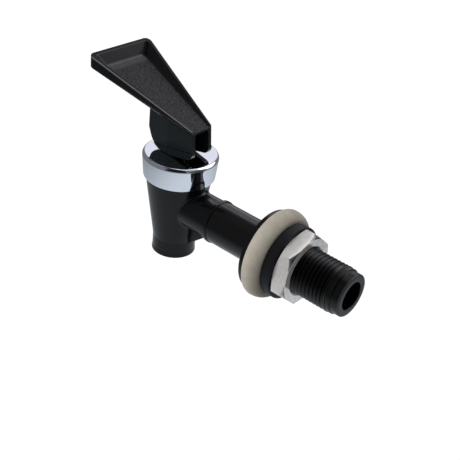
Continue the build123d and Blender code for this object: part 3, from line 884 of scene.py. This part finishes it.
def nut_mesh():
    """Grid over the angle and a section of bore, bore chamfers, flat faces, cones and flats.

    Half of the section is a run of (radius, depth under the face), and the other half mirrors it. The
    cone's depth is how far the flats reach past its start x the chamfer's rise.
    """
    angle = np.linspace(0, 2 * np.pi, NUT_TURNS, endpoint=False)[:, None]
    out = hexagon_reach(angle - math.radians(CORNER_ANGLE) - math.pi / 6)
    cone = (out - FLAT) * CHAMFER_RISE
    run = [
        (NUT_BORE, NUT_BORE_CHAMFER),
        (NUT_BORE + NUT_BORE_CHAMFER, 0),
        (FLAT - 0.08, 0),
        (out - 0.12, cone + 0.01),
        (out - 0.03, cone + 0.07),
        (out, cone + 0.2),
    ]
    still = np.zeros_like(out)
    radius = np.concatenate([still + outwards for outwards, _ in run + run[::-1]], 1)
    along = [still + nut_back + depth for _, depth in run]
    along = np.concatenate(along + [still + nut_front - depth for _, depth in run[::-1]], 1)
    nut = grid_mesh("nut_hexagon", np.stack([radius * np.cos(angle), along, radius * np.sin(angle)], -1) * MM)
    nut.data.set_sharp_from_angle(angle=NUT_SHARP)
    return nut


nut = nut_mesh()
print("the nut is", round(nut_front - nut_back, 2), "mm thick")

# %% [markdown]
# The nut's plating is bright and warm. The nut was milled before it was plated, so fine streaks run
# across its flats, and the turned front chamfer is smoother and darker by a painted shade. The faces
# of the chamfer could get a material of their own. The cone that shaped them also makes a mask, which
# is simpler.

# %% Finish of the nut
NICKEL = (0.80, 0.775, 0.75)
BRIGHT_STREAK, DULL_STREAK = (0.93, 0.905, 0.88), (0.64, 0.62, 0.60)
# Colour of the painted shade on the front chamfer.
SHADED_CHAMFER_NICKEL = (0.13, 0.12, 0.11)
FLATS_METALLIC, CHAMFER_ROUGHNESS = 0.5, 0.08


def on_front_chamfer(finish):
    """1 on the front chamfer: outside the flat face, and within 0.09 mm of the cone's depth."""
    x, y, z = finish.split_place()
    radius = finish.from_axis(x, z)
    cone = finish.product(finish.calculate("SUBTRACT", radius, FLAT * MM), CHAMFER_RISE)
    depth = finish.calculate("SUBTRACT", nut_front * MM, y)
    near_cone = finish.above(finish.calculate("SUBTRACT", cone, depth), -0.09 * MM, -0.05 * MM)
    return finish.product(near_cone, finish.above(radius, FLAT * MM, (FLAT + 0.1) * MM))


def nickel_plate():
    """Nickel plating on a milled and turned nut: bright and warm, with fine streaks and a painted shade on
    the front chamfer.
    """
    finish = Finish("nut nickel", NICKEL, 0.2, metallic=FLATS_METALLIC)
    chamfer = on_front_chamfer(finish)
    gloss = finish.ranged(finish.noise(1.5), 0.12, 0.24)
    finish.send("Roughness", finish.mix(chamfer, gloss, CHAMFER_ROUGHNESS))
    finish.send("Metallic", finish.mix(chamfer, FLATS_METALLIC, 1.0))
    streaks = finish.noise(0.16, 2.0, (9, 1, 9))
    plated = finish.mix_colors(finish.above(streaks, 0.3, 0.7), BRIGHT_STREAK, DULL_STREAK)
    # Painted shade: the front chamfer's colour is dark.
    finish.send("Base Color", finish.mix_colors(chamfer, plated, SHADED_CHAMFER_NICKEL))
    finish.bump(streaks, 0.006)
    finish.bump(finish.noise(3.0, 1.0), 0.02)
    return finish


stands_for(nut, "mounting_nut", nickel_plate(), "nut")

# %% [markdown]
# The shank is one moulding: a spigot and a bead that fit the body's stub, a tube, the flange, the
# thread, and a plain band and pilot that the nut slips over. Its section goes along the outside and
# back through the bore. It has many rows on the threaded stretch, which the next step needs, and few
# elsewhere.

# %% Section of the shank
FLANGE, TUBE, BEAD, SPIGOT = 13.9, 7.37, 7.7, 6.0
THREAD_RADIUS, BAND, PILOT, BORE = 7.9375, 7.75, 7.3, 4.82
STUB_END, BEAD_WIDTH, SPIGOT_LENGTH = -23.2, 1.5, 6.6
FLANGE_THICKNESS, PILOT_LENGTH, BAND_LENGTH = 2.0, 3.0, 1.7
THREAD_ROWS = 320
shank_tip = reach("shank", Y, HIGH)
pilot_start = shank_tip - PILOT_LENGTH
band_start = pilot_start - BAND_LENGTH


def shank_section():
    """Outline of the shank from the spigot to the pilot and back through the bore."""
    rough = soft_section([
        (BORE, STUB_END - SPIGOT_LENGTH, 0.1),
        (SPIGOT, STUB_END - SPIGOT_LENGTH, 0.2),
        (SPIGOT, STUB_END, 0),
        (BEAD, STUB_END, 0.3),
        (BEAD, STUB_END + BEAD_WIDTH, 0.3),
        (TUBE, STUB_END + BEAD_WIDTH, 0),
        (TUBE, -FLANGE_THICKNESS, 0.4),
        (FLANGE, -FLANGE_THICKNESS, 0.5),
        (FLANGE, 0, 0.1),
        (THREAD_RADIUS, 0, 0),
        (THREAD_RADIUS, band_start, 0),
        (BAND, band_start, 0),
        (BAND, pilot_start, 0.15),
        (PILOT, pilot_start, 0.2),
        (PILOT, shank_tip, 0.55),
        (BORE, shank_tip, 0.3),
    ])
    first = int(np.argmin(np.hypot(rough[:, 0] - THREAD_RADIUS, rough[:, 1])))
    fine = np.linspace(0, band_start, THREAD_ROWS)[1:-1]
    stretch = np.column_stack([np.full_like(fine, THREAD_RADIUS), fine])
    return np.concatenate([rough[:first + 1], stretch, rough[first + 1:]])


shank = turned("shank_tube", shank_section(), 120)
print("the shank ends", round(shank_tip, 1), "mm past the flange")

# %% [markdown]
# The thread is the one form that the solids leave out. A coil swept along the shank would cross itself
# and leave seams. But a thread is only a ridge whose height depends on how far along and how far round
# a point lies, so the turned grid can hold it: each point of that stretch moves in by its own depth.

# %% Thread
THREAD_PITCH = 25.4 / 18
THREAD_DEPTH = 0.72
THREAD_START, THREAD_END = 0.9, 27.2
RUN_IN, RUN_OUT = 1.0, 1.2
THREAD_SHARP = math.radians(60)


def cut_thread(piece):
    """Moves the threaded stretch inwards by a wave that winds once for each pitch.

    The phase is distance / pitch - angle / full turn. The groove is half of 1 - cosine, deepest where
    the phase is a whole number, and it fades out at the two ends of the thread.
    """
    mesh = piece.data
    spots = np.empty(len(mesh.vertices) * 3)
    mesh.vertices.foreach_get("co", spots)
    spots = spots.reshape(-1, 3)
    radius = np.hypot(spots[:, X], spots[:, Z])
    along = spots[:, Y] / MM
    on_thread = abs(radius - THREAD_RADIUS * MM) < 0.01 * MM
    phase = along / THREAD_PITCH - np.arctan2(spots[:, X], spots[:, Z]) / (2 * np.pi)
    from_crest = abs((phase % 1) - 0.5) * 2
    groove = 0.5 - 0.5 * np.cos(np.pi * from_crest)
    fade = np.clip((along - THREAD_START) / RUN_IN, 0, 1) * np.clip((THREAD_END - along) / RUN_OUT, 0, 1)
    cut = np.where(on_thread, THREAD_DEPTH * MM * groove * fade, 0)
    scale = (radius - cut) / np.maximum(radius, MM)
    spots[:, X] *= scale
    spots[:, Z] *= scale
    mesh.vertices.foreach_set("co", spots.ravel())
    mesh.update()
    mesh.set_sharp_from_angle(angle=THREAD_SHARP)


cut_thread(shank)
print(round((THREAD_END - THREAD_START) / THREAD_PITCH, 1), "turns of thread")

# %% [markdown]
# The shank is black plastic too, but its look changes along it. The threaded stretch is duller and a
# deeper black. The rim at its open end is scuffed grey, while the bore inside it stays black. Masks along
# the axis and by the distance from it tell these places apart, as the handle's planes did.

# %% Finish of the shank
TUBE_BLACK, THREAD_BLACK = (0.0022, 0.0025, 0.0026), (0.0009, 0.0010, 0.0011)
RIM_GREY = (0.026, 0.030, 0.033)
THREAD_ROUGHNESS, RIM_ROUGHNESS = 0.28, 0.45
SCUFF_START = 31.6 * MM
BORE_MARGIN = 0.03


def shank_plastic():
    """Glossy black plastic: darker and duller past the flange, and grey on the rim at the open end."""
    finish = Finish("shank black plastic", TUBE_BLACK, 0.18, specular=0.26)
    mould_texture(finish)
    x, y, z = finish.split_place()
    past_bore = BORE + BORE_MARGIN
    outside_bore = finish.above(finish.from_axis(x, z), past_bore * MM, (past_bore + 0.15) * MM)
    at_end = finish.above(y, SCUFF_START - 0.15 * MM, SCUFF_START + 0.05 * MM)
    scuffed = finish.product(at_end, outside_bore)
    past_flange = finish.above(y, 0.2 * MM, 0.6 * MM)
    gloss = finish.ranged(finish.noise(3.0, 3.0), 0.14, 0.24)
    gloss = finish.mix(past_flange, gloss, THREAD_ROUGHNESS)
    finish.send("Roughness", finish.mix(scuffed, gloss, RIM_ROUGHNESS))
    black = finish.mix_colors(past_flange, TUBE_BLACK, THREAD_BLACK)
    finish.send("Base Color", finish.mix_colors(scuffed, black, RIM_GREY))
    return finish


stands_for(shank, "shank", shank_plastic(), "root")

# %% [markdown]
# The silicone cup and the spring change shape when the stem lifts. The cup's plug rises while its flange
# stays clamped under the bonnet, and the spring closes up. Each gets a merged copy of its solid, which
# stands for the solid with its place baked into its points.

# %% Seat cup and return spring
MERGE_WITHIN = 1e-6
FLEXING_SHARP = math.radians(35)


def merged_copy(name, node):
    """Copy of a solid's mesh with its loose triangles joined and its faces turned outwards."""
    piece = bpy.data.objects.new(name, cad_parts[node].data.copy())
    bpy.context.scene.collection.objects.link(piece)
    shape = bmesh.new()
    shape.from_mesh(piece.data)
    bmesh.ops.remove_doubles(shape, verts=shape.verts, dist=MERGE_WITHIN)
    bmesh.ops.recalc_face_normals(shape, faces=shape.faces)
    shape.to_mesh(piece.data)
    shape.free()
    piece.data.polygons.foreach_set("use_smooth", np.ones(len(piece.data.polygons), bool))
    piece.data.set_sharp_from_angle(angle=FLEXING_SHARP)
    return piece


def flexing(name, node, finish):
    """Makes a merged copy that stands for the solid, with its place baked into its points."""
    piece = merged_copy(name, node)
    stands_for(piece, node, finish)
    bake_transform(piece)


flexing("seat_cup_flexing", "seat_cup", silicone)
flexing("return_spring_flexing", "return_spring", steel)

# %% [markdown]
